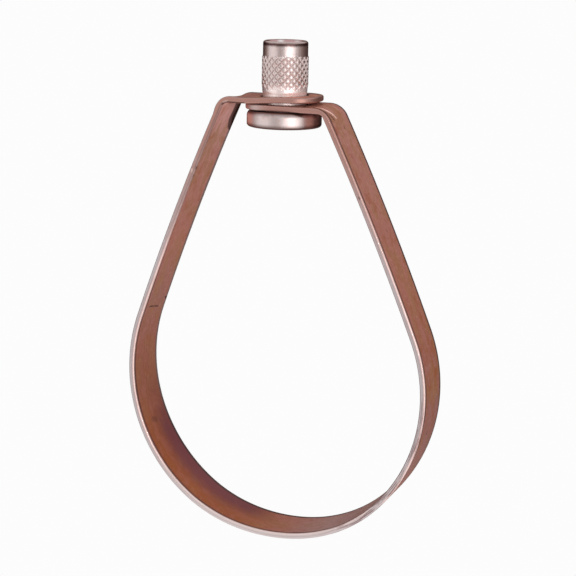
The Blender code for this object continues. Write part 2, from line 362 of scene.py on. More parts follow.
class NutSizes(bpy.types.PropertyGroup):
    """Sizes and colours of the nut."""

    height: metres("Height", "Overall height of the nut", NUT_HIGH.z - NUT_LOW.z)
    flange_radius: metres("Flange radius", "Radius of the flange that carries the band", NUT_HIGH.x)
    flange_height: metres("Flange height", "Height of the flange", 0.0055)
    flange_top_round: metres("Flange top round", "Round at the flange's upper edge", 0.0017)
    flange_foot_round: metres("Flange foot round", "Round at the flange's lower edge", 0.0010)
    neck_radius: metres("Neck radius", "Radius of the plain neck that runs in the tabs' holes", 0.00750)
    body_radius: metres("Crown radius", "Radius of the smooth crown above the knurl", 0.00764)
    rim_round: metres("Rim round", "Round at the crown's upper edge", 0.0009)
    mouth_radius: metres("Mouth radius", "Radius of the countersunk mouth at the top face", 0.00635)
    mouth_depth: metres("Mouth depth", "Depth of the countersunk mouth", 0.0024)
    foot_chamfer: metres("Foot chamfer", "Chamfer of the bore at the nut's foot", 0.0011)
    knurl_starts: IntProperty(
        name="Knurl starts", description="Diamonds round the nut",
        default=20, min=3)
    knurl_pitch: metres("Knurl pitch", "Height of a diamond", 0.0025)
    knurl_base: metres("Knurl base", "From the nut's foot up to the knurl", 0.0122)
    knurl_height: metres("Knurl height", "Height of the knurled band", 0.01205)
    knurl_lead_in: metres("Knurl lead-in", "Height of the taper from the neck out to the knurl", 0.0012)
    knurl_crest_radius: metres("Knurl crest radius", "Radius of the nut over the diamonds", 0.00788)
    knurl_depth: metres("Knurl depth", "Depth of the grooves between the diamonds", 0.00045)
    knurl_sharpness: FloatProperty(
        name="Knurl sharpness", description="How soon a groove's flank reaches the flat top of its diamond",
        default=2.1)
    thread_radius: metres("Thread radius", "Radius of the bore over the thread's crests", 0.00399)
    thread_depth: metres("Thread depth", "Depth of the thread's groove", 0.00077)
    thread_pitch: metres("Thread pitch", "Distance from one turn of the thread to the next", 0.0015875, 6)
    plate_colour: tint("Plate colour", "Bright copper plate on the turned faces", (0.85, 0.72, 0.70))
    groove_colour: tint(
        "Groove colour", "Duller plate in the knurl's grooves and the thread", (0.40, 0.27, 0.255))


class StageSizes(bpy.types.PropertyGroup):
    """Floor, light and camera."""

    floor_depth: metres("Floor depth", "From the nut's top face down to the floor", 0.30)
    floor_width: metres("Floor width", "Side of the square floor", 60.0)
    floor_colour: tint("Floor colour", "Pale floor and backdrop", (0.975, 0.975, 0.975))
    camera_place: spot("Camera place", "Where the camera stands", (0.21202, -0.59115, 0.04730))
    camera_target: spot("Camera target", "The point that the camera looks at", (0.00264, 0.0, -0.08488))
    camera_roll: degrees("Camera roll", "Turn of the camera about its own view", 1.21)
    lens: FloatProperty(
        name="Lens", description="Focal length in millimetres on a sensor 36 mm wide",
        default=115.99)
    key_watts: FloatProperty(
        name="Key light", description="Power of the soft light to the right of the camera",
        default=48.0, unit="POWER")
    fill_watts: FloatProperty(
        name="Fill light", description="Power of the weaker light to the left",
        default=9.0, unit="POWER")


def math_method(operation, swapped=False):
    """A method that adds a Math node. Its two values are swapped where the socket stands on the right."""
    def method(socket, other=0.0):
        values = (other, socket) if swapped else (socket, other)
        return socket.tree.math(operation, *values)
    return method


class Socket:
    """A node's output. Python's operators on it add Math nodes to its tree."""

    def __init__(self, tree, output):
        self.tree = tree
        self.output = output

    def also(self, name):
        """Another output of the same node."""
        return Socket(self.tree, find_socket(self.output.node.outputs, name))

    __add__ = math_method("ADD")
    __radd__ = math_method("ADD", True)
    __sub__ = math_method("SUBTRACT")
    __rsub__ = math_method("SUBTRACT", True)
    __mul__ = math_method("MULTIPLY")
    __rmul__ = math_method("MULTIPLY", True)
    __truediv__ = math_method("DIVIDE")
    __rtruediv__ = math_method("DIVIDE", True)
    __pow__ = math_method("POWER")
    __gt__ = math_method("GREATER_THAN")
    __abs__ = math_method("ABSOLUTE")


def find_socket(sockets, name):
    """The socket with this identifier, or else the first one with this name."""
    for socket in sockets:
        if socket.identifier == name:
            return socket
    return sockets[name]


class Tree:
    """Adds nodes to one node tree."""

    def __init__(self, node_tree):
        self.node_tree = node_tree
        node_tree.nodes.clear()

    def node(self, kind, settings=None, sockets=None, output=None):
        """Add a node: first its settings, then its sockets' values or links. Return one of its outputs."""
        made = self.node_tree.nodes.new(kind)
        for name, value in (settings or {}).items():
            if name == "stops":
                set_stops(made.color_ramp, value)
            else:
                setattr(made, name, value)
        for name, value in (sockets or {}).items():
            target = find_socket(made.inputs, name)
            if isinstance(value, Socket):
                self.node_tree.links.new(value.output, target)
            else:
                target.default_value = value
        if not made.outputs:
            return made
        return Socket(self, find_socket(made.outputs, output) if output else made.outputs[0])

    def math(self, operation, first, second=0.0):
        """One step of arithmetic on numbers."""
        return self.node("ShaderNodeMath", {"operation": operation}, {"Value": first, "Value_001": second})

    def vector(self, operation, first, second=(0.0, 0.0, 0.0)):
        """One step of arithmetic on vectors."""
        return self.node("ShaderNodeVectorMath", {"operation": operation},
                         {"Vector": first, "Vector_001": second})

    def combine(self, x, y, z):
        """A vector from three numbers."""
        return self.node("ShaderNodeCombineXYZ", None, {"X": x, "Y": y, "Z": z})

    def step(self, value, low, high):
        """0 below low and 1 above high, with a smooth change between them."""
        return self.node("ShaderNodeMapRange", {"interpolation_type": "SMOOTHSTEP"},
                         {"Value": value, "From Min": low, "From Max": high})

    def hump(self, value, middle, reach):
        """1 at the middle, falling smoothly to 0 at this reach on both sides of it."""
        return 1 - self.step(abs(value - middle), 0.0, reach)

    def zone(self, value, begin, full, fade, end):
        """1 from full to fade, falling smoothly to 0 at begin and at end."""
        return self.step(value, begin, full) * self.step(value, end, fade)

    def stroke(self, where, first, last, width):
        """1 on the straight line between two points, falling to 0 at this distance from it."""
        first = Vector(first)
        run = Vector(last) - first
        offset = self.vector("SUBTRACT", where, tuple(first))
        dot = self.node("ShaderNodeVectorMath", {"operation": "DOT_PRODUCT"},
                        {"Vector": offset, "Vector_001": tuple(run / run.length_squared)}, "Value")
        share = self.math("MINIMUM", self.math("MAXIMUM", dot, 0.0), 1.0)
        nearest = self.node("ShaderNodeVectorMath", {"operation": "SCALE"},
                            {"Vector": tuple(run), "Scale": share})
        gap = self.node("ShaderNodeVectorMath", {"operation": "DISTANCE"},
                        {"Vector": offset, "Vector_001": nearest}, "Value")
        return 1 - self.step(gap, width * MARK_CORE, width)

    def mix(self, factor, first, second, blend="MIX"):
        """Two colours mixed or blended, each a socket or three numbers."""
        first, second = (entry if isinstance(entry, Socket) else rgba(entry) for entry in (first, second))
        return self.node("ShaderNodeMix", {"data_type": "RGBA", "blend_type": blend},
                         {"Factor_Float": factor, "A_Color": first, "B_Color": second}, "Result_Color")

    def layers(self, colour, *layers):
        """Lay (mask, colour) or (mask, colour, blend) layers over a colour, one after the other."""
        for mask, *second in layers:
            colour = self.mix(mask, colour, *second)
        return colour

    def noise(self, where, scale, detail=2.0, roughness=0.5, distortion=0.0):
        """Smooth noise from 0 to 1, with one scale, or one for each axis."""
        if isinstance(scale, tuple):
            where = self.vector("MULTIPLY", where, scale)
            scale = 1.0
        return self.node("ShaderNodeTexNoise", {"noise_dimensions": "3D"},
                         {"Vector": where, "Scale": scale, "Detail": detail, "Roughness": roughness,
                          "Distortion": distortion})


def set_stops(ramp, stops):
    """Give a colour ramp these (place, colour) stops."""
    while len(ramp.elements) < len(stops):
        ramp.elements.new(1.0)
    for element, (place, colour) in zip(ramp.elements, stops):
        element.position = place
        element.color = rgba(colour)


def rgba(colour):
    """A colour with its fourth number."""
    return tuple(colour)[:3] + (1.0,)


def new_material(name):
    """An empty material and the tree that its nodes go in."""
    material = bpy.data.materials.new(name)
    material.use_nodes = True
    return material, Tree(material.node_tree)


def finish_material(tree, colour, metallic, roughness, height, sheen):
    """End a metal's tree in the main shader. The height of its bumps is in millimetres."""
    normal = tree.node("ShaderNodeBump", None, {"Strength": 1.0, "Distance": MM, "Height": height})
    shader = tree.node("ShaderNodeBsdfPrincipled", None, {
        "Base Color": colour, "Metallic": metallic, "Roughness": roughness, "Normal": normal,
        "Specular Tint": rgba(sheen)})
    tree.node("ShaderNodeOutputMaterial", None, {"Surface": shader})


def smooth(share):
    """A share held between 0 and 1, with a smooth start and end."""
    share = min(max(share, 0.0), 1.0)
    return share ** 2 * (3 - 2 * share)


def add_object(name, data):
    """A new object in the scene, with this mesh, light or camera."""
    made = bpy.data.objects.new(name, data)
    bpy.context.scene.collection.objects.link(made)
    return made


def face_outwards(mesh):
    """Turn all faces of a closed mesh outwards."""
    builder = bmesh.new()
    builder.from_mesh(mesh)
    bmesh.ops.recalc_face_normals(builder, faces=builder.faces)
    builder.to_mesh(mesh)
    builder.free()


def outward(heading):
    """Unit normal on the outer side of a path that runs at this heading in the XZ plane."""
    return Vector((math.sin(heading), -math.cos(heading)))


def arc_points(start, heading, radius, sweep, steps):
    """Follow an arc that turns inwards; return its points with their headings, and where it ends."""
    centre = start - outward(heading) * radius
    path = []
    for step in range(steps):
        angle = heading + sweep * step / steps
        path.append((centre + outward(angle) * radius, angle))
    end_heading = heading + sweep
    return path, centre + outward(end_heading) * radius, end_heading


def fillet_centre(corner, first, second, radius):
    """Centre of the round of this radius between two lines with outward normals first and second."""
    return corner - (first + second) * radius / (1 + first.dot(second))


def tab_rise(sizes, rise, x):
    """How much a tab has risen at a place along it, and its slope there."""
    share = min(max((sizes.tab_rise_start - x) / sizes.tab_rise_run, 0.0), 1.0)
    slope = 6 * rise * share * (1 - share) / sizes.tab_rise_run
    return rise * smooth(share), slope


def side_stations(sizes, bottom_radius, side_radius, lean, leg_radius, bottom_x, tab_height, rise):
    """Stations of one side, from the ring's bottom to the square part of its tab, as (outer, inner) points.

    The side is worked out as a right-hand one, with +X away from the nut, and each point is (x, z).
    """
    half = sizes.thickness / 2
    start = Vector((bottom_x, NUT_FOOT_Z - sizes.drop))
    path, point, heading = arc_points(start, 0.0, bottom_radius, sizes.bottom_sweep, ARC_STEPS)
    side_sweep = math.pi / 2 + lean - sizes.bottom_sweep
    side_path, point, heading = arc_points(point, heading, side_radius, side_sweep, ARC_STEPS)
    path += side_path

    # The leg runs up to the height of its tab, and stops short of that corner to leave room for the bend.
    climb = NUT_FOOT_Z + tab_height - point.y
    leg_turn = math.acos(math.cos(heading) - climb / leg_radius) - heading
    corner = arc_points(point, heading, leg_radius, leg_turn, 1)[1]
    leg_end = heading + leg_turn
    leg_normal = outward(leg_end)
    tab_normal = outward(math.pi)
    bend_room = sizes.shoulder_outside * math.tan((math.pi - leg_end) / 2)
    path += arc_points(point, heading, leg_radius, leg_turn - bend_room / leg_radius, LEG_STEPS)[0]
    stations = [(at + outward(angle) * half, at - outward(angle) * half) for at, angle in path]

    # The outer face is bent round a wide radius, and the inner face is pressed to a sharper one.
    bisector = (leg_normal + tab_normal) / (1 + leg_normal.dot(tab_normal))
    outer_centre = fillet_centre(corner + bisector * half, leg_normal, tab_normal, sizes.shoulder_outside)
    inner_centre = fillet_centre(corner - bisector * half, leg_normal, tab_normal, sizes.shoulder_inside)
    for step in range(BEND_STEPS + 1):
        normal = outward(leg_end + (math.pi - leg_end) * step / BEND_STEPS)
        stations.append((outer_centre + normal * sizes.shoulder_outside,
                         inner_centre + normal * sizes.shoulder_inside))

    outer, inner = stations[-1]
    for step in range(1, LAP_STEPS + 1):
        share = step / LAP_STEPS
        ends = []
        for face, depth in ((outer, 0.0), (inner, sizes.thickness)):
            at = tab_surface(face.x + (TAB_SQUARE - face.x) * share, 0.0, depth, sizes, rise, tab_height)
            ends.append(Vector((at[0], at[2])))
        stations.append(tuple(ends))
    return stations


class StripShell:
    """Collects the band's points, with their places on the flat strip, and its faces."""

    def __init__(self):
        self.points = []
        self.places = []
        self.rims = []
        self.faces = []

    def add(self, point, place, rim):
        """Add a point. Its place is (along, across, through) the strip, and rim is how far past an edge."""
        self.points.append(point)
        self.places.append(place)
        self.rims.append(rim)
        return len(self.points) - 1

    def bridge(self, near, far):
        """Join two rows of points by a row of faces."""
        for index in range(len(near) - 1):
            self.faces.append((near[index], near[index + 1], far[index + 1], far[index]))

    def to_object(self, name, material):
        """Make the closed shell an object with smooth faces that all point outwards."""
        mesh = bpy.data.meshes.new(name)
        mesh.from_pydata(self.points, [], self.faces)
        place = mesh.attributes.new("strip_place", "FLOAT_VECTOR", "POINT")
        place.data.foreach_set("vector", [number / MM for entry in self.places for number in entry])
        rim = mesh.attributes.new("rim", "FLOAT", "POINT")
        rim.data.foreach_set("value", [number / MM for number in self.rims])
        face_outwards(mesh)
        mesh.materials.append(material)
        mesh.shade_smooth()
        return add_object(name, mesh)


def edge_profile(sizes):
    """The rolled edge from the outer face to the inner one, as (out, down, distance past the face)."""
    radius = sizes.edge_round
    profile = []
    for step in range(ROUND_STEPS + 1):
        turn = math.pi / 2 * step / ROUND_STEPS
        profile.append((radius * math.sin(turn), radius * (1 - math.cos(turn)), radius * turn))
    middle = (radius, sizes.thickness / 2, radius * math.pi / 2 + sizes.thickness / 2 - radius)
    mirrored_half = [(out, sizes.thickness - down, past) for out, down, past in reversed(profile)]
    return profile + [middle] + mirrored_half


def face_places(sizes):
    """Places across a face, closer together near its two edges."""
    half = sizes.width / 2 - sizes.edge_round
    margins = [margin * MM for margin in FACE_MARGINS]
    inner_half = half - margins[-1]
    middle = [-inner_half + 2 * inner_half * step / FACE_STEPS for step in range(1, FACE_STEPS)]
    return [margin - half for margin in margins] + middle + [half - margin for margin in reversed(margins)]


def pressed_in(along, to_back, depth_share):
    """How far the strip lies inside its plain path."""
    flat = FLAT_BOTTOM * smooth(1 - abs(along) / FLAT_BOTTOM_REACH)
    drawn = DRAWN_BACK * to_back * smooth(1 - abs(along - DRAWN_BACK_AT) / DRAWN_BACK_REACH)
    square = BEND_SQUARE * smooth(1 - abs(along - BEND_AT) / BEND_SQUARE_REACH)
    dish = BEND_DISH * 4 * to_back * (1 - to_back) * smooth(1 - abs(along - BEND_AT) / BEND_DISH_REACH)
    return flat + drawn + dish - square * (1 - smooth(to_back)) * (1 - depth_share)


def pinch_mark(along, across):
    """How far the outer face stands out beside the bending tool's pinch mark on the right shoulder."""
    run = MARK_START - along
    line = MARK_ACROSS + MARK_SLOPE * run
    before = max(-run, 0.0) / MARK_START_FADE
    beyond = max(run - MARK_LENGTH, 0.0) / MARK_END_FADE
    ridge = RIDGE_HEIGHT * math.exp(-((across - line) / RIDGE_WIDTH) ** 2)
    groove = GROOVE_DEPTH * math.exp(-((across - line + GROOVE_AT) / GROOVE_WIDTH) ** 2)
    return math.exp(-before ** 2 - beyond ** 2) * (ridge - groove)


def add_section(shell, sizes, station, along, side):
    """Add the points round the strip at a station. Return its outer, far, inner and near rows."""
    outer, inner = station
    through = inner - outer
    facing = (outer - inner).normalized()
    half = sizes.thickness / 2
    border = sizes.width / 2 - sizes.edge_round

    def put(at, across, depth, rim):
        to_back = across / sizes.width + 0.5
        at = at - facing * pressed_in(side * along, to_back, depth / sizes.thickness)
        return shell.add((side * at.x, across, at.y), (side * along, across, half - depth), rim)

    rows = {"outer": [], "inner": [], "far": [], "near": []}
    for across in face_places(sizes):
        rim = abs(across) - border
        raised = pinch_mark(side * along, across) if rim < 0.0 else 0.0
        rows["outer"].append(put(outer + facing * raised, across, 0.0, rim))
        rows["inner"].append(put(inner, across, sizes.thickness, rim))
    for name, sign, last in (("far", 1, -1), ("near", -1, 0)):
        rows[name].append(rows["outer"][last])
        for out, down, past in edge_profile(sizes)[1:-1]:
            at = outer + through * (down / sizes.thickness)
            rows[name].append(put(at, sign * (border + out), down, past))
        rows[name].append(rows["inner"][last])
    return rows


def tab_outline(sizes):
    """The free outline of a tab's face, in its own plane, as (point, outward direction) pairs.

    The tab runs towards -X from its square part. The outline starts on the far side.
    """
    border = sizes.width / 2 - sizes.edge_round
    corner_x = -(sizes.tab_reach - sizes.tab_corner)
    corner_y = sizes.width / 2 - sizes.tab_corner
    radius = sizes.tab_corner - sizes.edge_round
    far = []
    for step in range(1, TAB_SIDE_STEPS):
        far.append((Vector((TAB_SQUARE + (corner_x - TAB_SQUARE) * step / TAB_SIDE_STEPS, border)),
                    Vector((0.0, 1.0))))
    for step in range(CORNER_STEPS + 1):
        turn = math.pi / 2 * (1 + step / CORNER_STEPS)
        direction = Vector((math.cos(turn), math.sin(turn)))
        far.append((Vector((corner_x, corner_y)) + direction * radius, direction))
    for step in range(1, TAB_END_STEPS // 2):
        at = Vector((-sizes.tab_reach + sizes.edge_round, corner_y * (1 - 2 * step / TAB_END_STEPS)))
        far.append((at, Vector((-1.0, 0.0))))
    middle = [(Vector((-sizes.tab_reach + sizes.edge_round, 0.0)), Vector((-1.0, 0.0)))]
    near = [(Vector((at.x, -at.y)), Vector((direction.x, -direction.y))) for at, direction in reversed(far)]
    return far + middle + near


def tab_surface(x, y, depth, sizes, rise, height):
    """A point of a tab, from its place in the flat tab and its depth below the upper face."""
    risen, slope = tab_rise(sizes, rise, x)
    normal = outward(math.pi - math.atan(slope))
    offset = sizes.thickness / 2 - depth
    return (x + normal.x * offset, y, NUT_FOOT_Z + height + risen + normal.y * offset)


def add_tab(shell, sizes, section, along, side, rise, height):
    """Add a tab with its hole beyond the last section of a side."""
    half = sizes.thickness / 2
    square_row = face_places(sizes)
    free = tab_outline(sizes)
    profile = edge_profile(sizes)

    def put(x, y, depth, rim):
        place = (side * (along + TAB_SQUARE - x), y, half - depth)
        point = tab_surface(x, y, depth, sizes, rise, height)
        return shell.add((side * point[0], point[1], point[2]), place, rim)

    columns = []
    for at, direction in free:
        columns.append([put(at.x + direction.x * out, at.y + direction.y * out, down, past)
                        for out, down, past in profile])
    border = [Vector((TAB_SQUARE, y)) for y in square_row] + [at for at, direction in free]
    rim_radius = sizes.hole_radius + HOLE_RIM_ROUND
    walls = []
    for depth, name, end in ((0.0, "outer", 0), (sizes.thickness, "inner", -1)):
        starts = section[name] + [column[end] for column in columns]
        spokes = []
        for start, at in zip(starts, border):
            inside = at.normalized() * rim_radius
            spoke = [start]
            for share in TAB_RING_SHARES[1:]:
                place = at.lerp(inside, share)
                rim = max(-(place - at).length, rim_radius - place.length)
                spoke.append(put(place.x, place.y, depth, rim))
            spokes.append(spoke)
        walls.append(spokes)
    upper, lower = walls
    for index in range(len(border)):
        following = (index + 1) % len(border)
        shell.bridge(upper[index], upper[following])
        shell.bridge(lower[index], lower[following])

    # The hole's wall, with its two rims slightly rounded by the punch
    turns = [math.pi / 2 * step / ROUND_STEPS for step in range(1, ROUND_STEPS + 1)]
    wall = [(turn, HOLE_RIM_ROUND * (1 - math.cos(turn))) for turn in turns]
    wall += [(turn, sizes.thickness - depth) for turn, depth in reversed(wall)]
    lining = []
    for index, at in enumerate(border):
        direction = at.normalized()
        column = [upper[index][-1]]
        for turn, depth in wall:
            place = direction * (rim_radius - HOLE_RIM_ROUND * math.sin(turn))
            column.append(put(place.x, place.y, depth, HOLE_RIM_ROUND * turn))
        column.append(lower[index][-1])
        lining.append(column)
    for index in range(len(border)):
        shell.bridge(lining[index], lining[(index + 1) % len(border)])

    edge = [section["far"]] + columns + [section["near"]]
    for first, second in zip(edge, edge[1:]):
        shell.bridge(first, second)


def build_band(sizes, material):
    """The whole strip: the ring and its two legs, shoulders and tabs."""
    shell = StripShell()
    sides = (
        (1, sizes.right_bottom_radius, sizes.right_side_radius, sizes.right_lean, sizes.right_leg_radius,
         sizes.lower_tab_height, 0.0),
        (-1, sizes.left_bottom_radius, sizes.left_side_radius, sizes.left_lean, sizes.left_leg_radius,
         sizes.upper_tab_height, sizes.upper_tab_rise),
    )
    bottom = None
    for side, *arcs, tab_height, rise in sides:
        stations = side_stations(sizes, *arcs, side * sizes.bottom_offset, tab_height, rise)
        along = 0.0
        if bottom is None:
            bottom = add_section(shell, sizes, stations[0], along, side)
        previous = bottom
        for last, station in zip(stations, stations[1:]):
            along += ((station[0] + station[1]) / 2 - (last[0] + last[1]) / 2).length
            section = add_section(shell, sizes, station, along, side)
            for name in section:
                shell.bridge(previous[name], section[name])
            previous = section
        add_tab(shell, sizes, previous, along, side, rise, tab_height)
    return shell.to_object("band", material)


class StripMaps:
    """Where a point lies on the flat strip in millimetres, and the noises that its colours share."""

    def __init__(self, tree):
        self.place = tree.node("ShaderNodeAttribute", {"attribute_name": "strip_place"}, None, "Vector")
        self.rim = tree.node("ShaderNodeAttribute", {"attribute_name": "rim"}, None, "Fac")
        split = tree.node("ShaderNodeSeparateXYZ", None, {"Vector": self.place})
        self.along = split.also("X")
        self.across = split.also("Y")
        self.through = split.also("Z")
        self.from_bottom = abs(self.along)
        self.inner = 1 - tree.step(self.through, -0.4, 0.4)
        self.outer = 1 - self.inner

        # The rolls and the knives left lines along the strip, so most noises are stretched that way.
        self.lines = tree.noise(self.place, (0.016, 3.2, 3.2), 3.0, 0.6)
        self.fine_lines = tree.noise(self.place, (0.05, 9.0, 9.0), 2.0, 0.5)
        self.short_streak = tree.noise(self.place, (0.16, 3.4, 3.4), 2.0, 0.6)
        self.clouds = tree.noise(self.place, (0.10, 0.15, 0.3), 5.0, 0.6, 0.6)
        self.patches = tree.noise(tree.vector("ADD", self.place, (37.0, 11.0, 5.0)), 0.22, 5.0, 0.6)
        self.grain = tree.noise(self.place, (0.63, 0.9, 0.9), 4.0, 0.7)
        self.specks = tree.noise(self.place, 2.6, 3.0, 0.65)
        self.wander = (self.lines - 0.5) * 0.22


def strip_face(tree, maps, sizes):
    """The colour of the strip's faces: copper with tarnish, heat tint, patches, rolled lines and grain."""
    along = maps.along
    inner = maps.inner
    outer = maps.outer
    specks = maps.specks
    cloud = maps.clouds - 0.5
    tarnished = tree.zone(along, *TARNISHED_ZONE) * inner
    pale = tree.zone(along, *PALE_ZONE) * inner
    tarnish = tree.mix(tree.step(along, *GOLDEN_TARNISH_FROM), LEFT_TARNISH, sizes.tarnish_colour)
    shaded = tree.hump(along, *SHADED_AT) * outer * tree.step(maps.across, -3.0, 9.0)
    tab_top = tree.math("MAXIMUM", tree.step(along, *RIGHT_TAB_TOP), tree.step(along, *LEFT_TAB_TOP))
    golden = tree.hump(along, *GOLDEN_AT) * outer * tree.step(maps.patches, 0.35, 0.60)
    rosy = tree.step(maps.from_bottom, *ROSY_FROM) * inner
    towards_top = tree.step(maps.from_bottom, *PINKER_FROM)
    face = tree.layers(
        tree.mix(towards_top * 0.8 + cloud * 0.9, sizes.face_colour, sizes.pink_colour),
        (tarnished * 0.95, tarnish),
        (tree.zone(along, *DEEPEST_ZONE) * inner, DEEP_TARNISH, "MULTIPLY"),
        (tree.hump(along, *COOL_INSIDE_AT) * inner, COOL_INSIDE, "MULTIPLY"),
        (tree.hump(along, *COOL_OUTSIDE_AT) * outer, COOL_OUTSIDE, "MULTIPLY"),
        (shaded * 0.75, SHADED_BACK),
        (pale * 0.7, PALE_COPPER),
        (tab_top * outer * 0.7, WARM_TAB),
        (golden * 0.8, sizes.tarnish_colour),
        (rosy * 0.75, ROSY_COPPER),
    )

    # Tints, patches and light grain are weaker where the face is tarnished or pale.
    tints = tree.noise(maps.place, (0.10, 0.16, 0.3), 4.0, 0.62, 0.3) + (specks - 0.5) * 0.10
    free = (1 - tarnished * 0.55) * (1 - pale * 0.6)
    heated = tree.step(along + cloud * 30.0, *HEAT_FROM) * tree.step(along, *HEAT_ENDS) * inner
    to_back = tree.step(maps.across + cloud * 6.0 + (maps.grain - 0.5) * 7.0, -5.5, 5.5)
    return tree.layers(
        face,
        (tree.step(tints, 0.47, 0.61) * 0.66 * free, BROWN_TINT),
        (tree.step(tints, 0.51, 0.39) * 0.50 * free, RED_TINT),
        (tree.step(maps.patches, 0.50, 0.72) * 0.6 * free, sizes.tarnish_colour),
        ((maps.lines - 0.5) * 0.7 + 0.2, ROLLED_LINES, "OVERLAY"),
        (tree.step(maps.grain, 0.54, 0.72) * 0.36 * free, LIGHT_GRAIN),
        (tree.step(maps.grain, 0.48, 0.30) * 0.40, DARK_GRAIN),
        (tree.step(specks, 0.64, 0.76) * 0.45, DARK_SPECKS),
        (heated * to_back * 0.85, sizes.heat_colour),
    )


def strip_edge(tree, maps, sizes):
    """The colour of the rolled edges: a painted highlight on the round beside the face that is seen,
    painted shade on their other corners, and duller towards the tabs.
    """
    along = maps.along
    streak = tree.noise(maps.place, (0.03, 7.0, 7.0), 2.0, 0.6)
    dull = tree.step(maps.from_bottom + (maps.patches - 0.5) * 30.0, *DULL_EDGE_FROM)
    highlit_face = tree.step(along, *OUTSIDE_HIGHLIT_FROM) * 2 - 1
    # Painted highlight: the round beside the inner face on the left and beside the outer face on the right
    # is painted bright
    rubbed = tree.step(highlit_face * maps.through + maps.wander, 0.05, 0.55)
    upper_left = tree.step(along, *UPPER_LEFT_FROM)
    dimmed_highlight = upper_left * rubbed * tree.step(along, *LEFT_SHOULDER_ENDS)
    # Painted shade on the edge's corners where the highlight is not
    outline = tree.hump(abs(maps.through), 1.05, 0.40) * (1 - rubbed)
    return tree.layers(
        tree.mix(rubbed, sizes.edge_colour, EDGE_HIGHLIGHT),
        (tree.step(maps.short_streak, 0.54, 0.62) * 0.35, SHORT_STREAK),
        (tree.step(maps.from_bottom, *BRIGHT_EDGE_FROM) * 0.6, BRIGHT_EDGE),
        (dull, sizes.dull_edge_colour),
        (tree.step(streak, 0.46, 0.62) * (0.35 + dull * 0.1), LONG_STREAK),
        (tree.zone(along, *STREAKED_ZONE) * tree.step(maps.short_streak, 0.50, 0.58) * 0.75, DARK_STREAK),
        (dimmed_highlight, DIMMED_HIGHLIGHT, "MULTIPLY"),
        (outline * (0.6 - dull * 0.15 + upper_left * 0.35), EDGE_SHADE),
    )


def dark_borders(tree, maps, colour):
    """Add a dark line where each face meets its edges, broken in front and wider along the back ones, where
    it is painted shade on the round that turns away from the light.
    """
    rim = maps.rim + maps.wander
    behind = tree.step(maps.across, 3.0, 6.0)
    left_leg = tree.step(maps.along, *LEFT_LEG_FROM)
    greyer = tree.step(maps.along, *GREYER_FROM)
    broken = 0.55 + 0.45 * tree.step(maps.short_streak, 0.38, 0.52)
    front_line = tree.hump(rim, -0.42, 0.95) * (1 - behind) * (0.95 - left_leg * 0.85) * broken
    # Painted shade along the back edges, whose rounds turn away from the light
    back_shade = tree.step(rim + left_leg * 0.7, -1.6, -0.8) * tree.step(maps.rim, 0.75, 0.50) * behind
    shadow = tree.mix(greyer, BACK_SHADE, GREY_BACK_SHADE)
    return tree.layers(
        colour,
        (front_line, FRONT_LINE),
        (back_shade * (0.92 - 0.15 * greyer), shadow),
    )


def flange_shadow_patch(tree, maps):
    """The mask and the colour of the painted shadow that the flange casts on the left leg's inner face."""
    along = maps.along
    reach = 2.3 + tree.step(along, *FLANGE_SHADOW_SLANT) * 3.2
    patch = tree.step(maps.across + (maps.specks - 0.5) * 1.2, reach - 0.4, reach + 0.4) * maps.inner
    lower_end = tree.step(along - (maps.across - 8.8) * 0.5, *FLANGE_SHADOW_LOWER_END)
    upper_end = tree.step(along, *FLANGE_SHADOW_UPPER_END)
    shade = tree.mix(tree.step(maps.across - reach, 1.9, 4.1), FLANGE_SHADOW, FLANGE_SHADOW_DARKEST)
    return patch * lower_end * upper_end, shade


def small_marks(tree, maps, colour):
    """Add the scratches, nicks and specks, and the painted shade and highlights at the shoulders,
    as slightly rough lines between places on the strip.
    """
    rough_place = tree.vector("ADD", maps.place, tree.combine((maps.specks - 0.5) * 1.2, 0.0, 0.0))
    for marks, mark_colour in ((DARK_MARKS_AND_SHADE, DARK_MARK_AND_SHADE), (PALE_MARKS_AND_HIGHLIGHTS, PALE_MARK_AND_HIGHLIGHT)):
        mask = 0.0
        for first, last, width, depth in marks:
            mask = tree.math("MAXIMUM", mask, tree.stroke(rough_place, first, last, width) * depth)
        colour = tree.mix(mask, colour, mark_colour)
    return colour


def strip_finish(sizes):
    """Copper plate on rolled strip: satin faces with tarnish, and brighter rolled edges."""
    material, tree = new_material("ring_copper_finish")
    maps = StripMaps(tree)
    edge_mask = tree.step(maps.rim + maps.wander, -0.02, 0.16)
    colour = tree.mix(edge_mask, strip_face(tree, maps, sizes), strip_edge(tree, maps, sizes))
    colour = dark_borders(tree, maps, colour)
    # Painted shadow: the flange's shadow on the left leg is painted dark, and made a little more metallic
    shadow_patch, shade = flange_shadow_patch(tree, maps)
    colour = tree.layers(
        colour,
        (shadow_patch * 0.95, shade),
        (tree.step(maps.along, *RIGHT_TAB_END) * 0.6, PALE_TAB_END),
    )
    colour = small_marks(tree, maps, colour)
    metallic = 0.62 + edge_mask * 0.30 + shadow_patch * 0.3
    speck = maps.specks - 0.5
    roughness = 0.47 + (maps.clouds - 0.5) * 0.16 + speck * 0.12 - edge_mask * 0.08
    height = (maps.lines - 0.5) * 0.012 + (maps.fine_lines - 0.5) * 0.006 + speck * 0.006
    finish_material(tree, colour, metallic, roughness, height, STRIP_SHEEN)
    return material


def quarter_round(centre_r, centre_z, radius, first, last):
    """Points of a rounded corner of the nut's profile, from one angle to another."""
    points = []
    for step in range(TURNED_ROUND_STEPS + 1):
        angle = math.radians(first + (last - first) * step / TURNED_ROUND_STEPS)
        points.append((centre_r + radius * math.cos(angle), centre_z + radius * math.sin(angle)))
    return points


def straight(start, end, steps):
    """Points of a straight part of the nut's profile, without its two ends."""
    return [(start[0] + (end[0] - start[0]) * step / steps, start[1] + (end[1] - start[1]) * step / steps)
            for step in range(1, steps)]


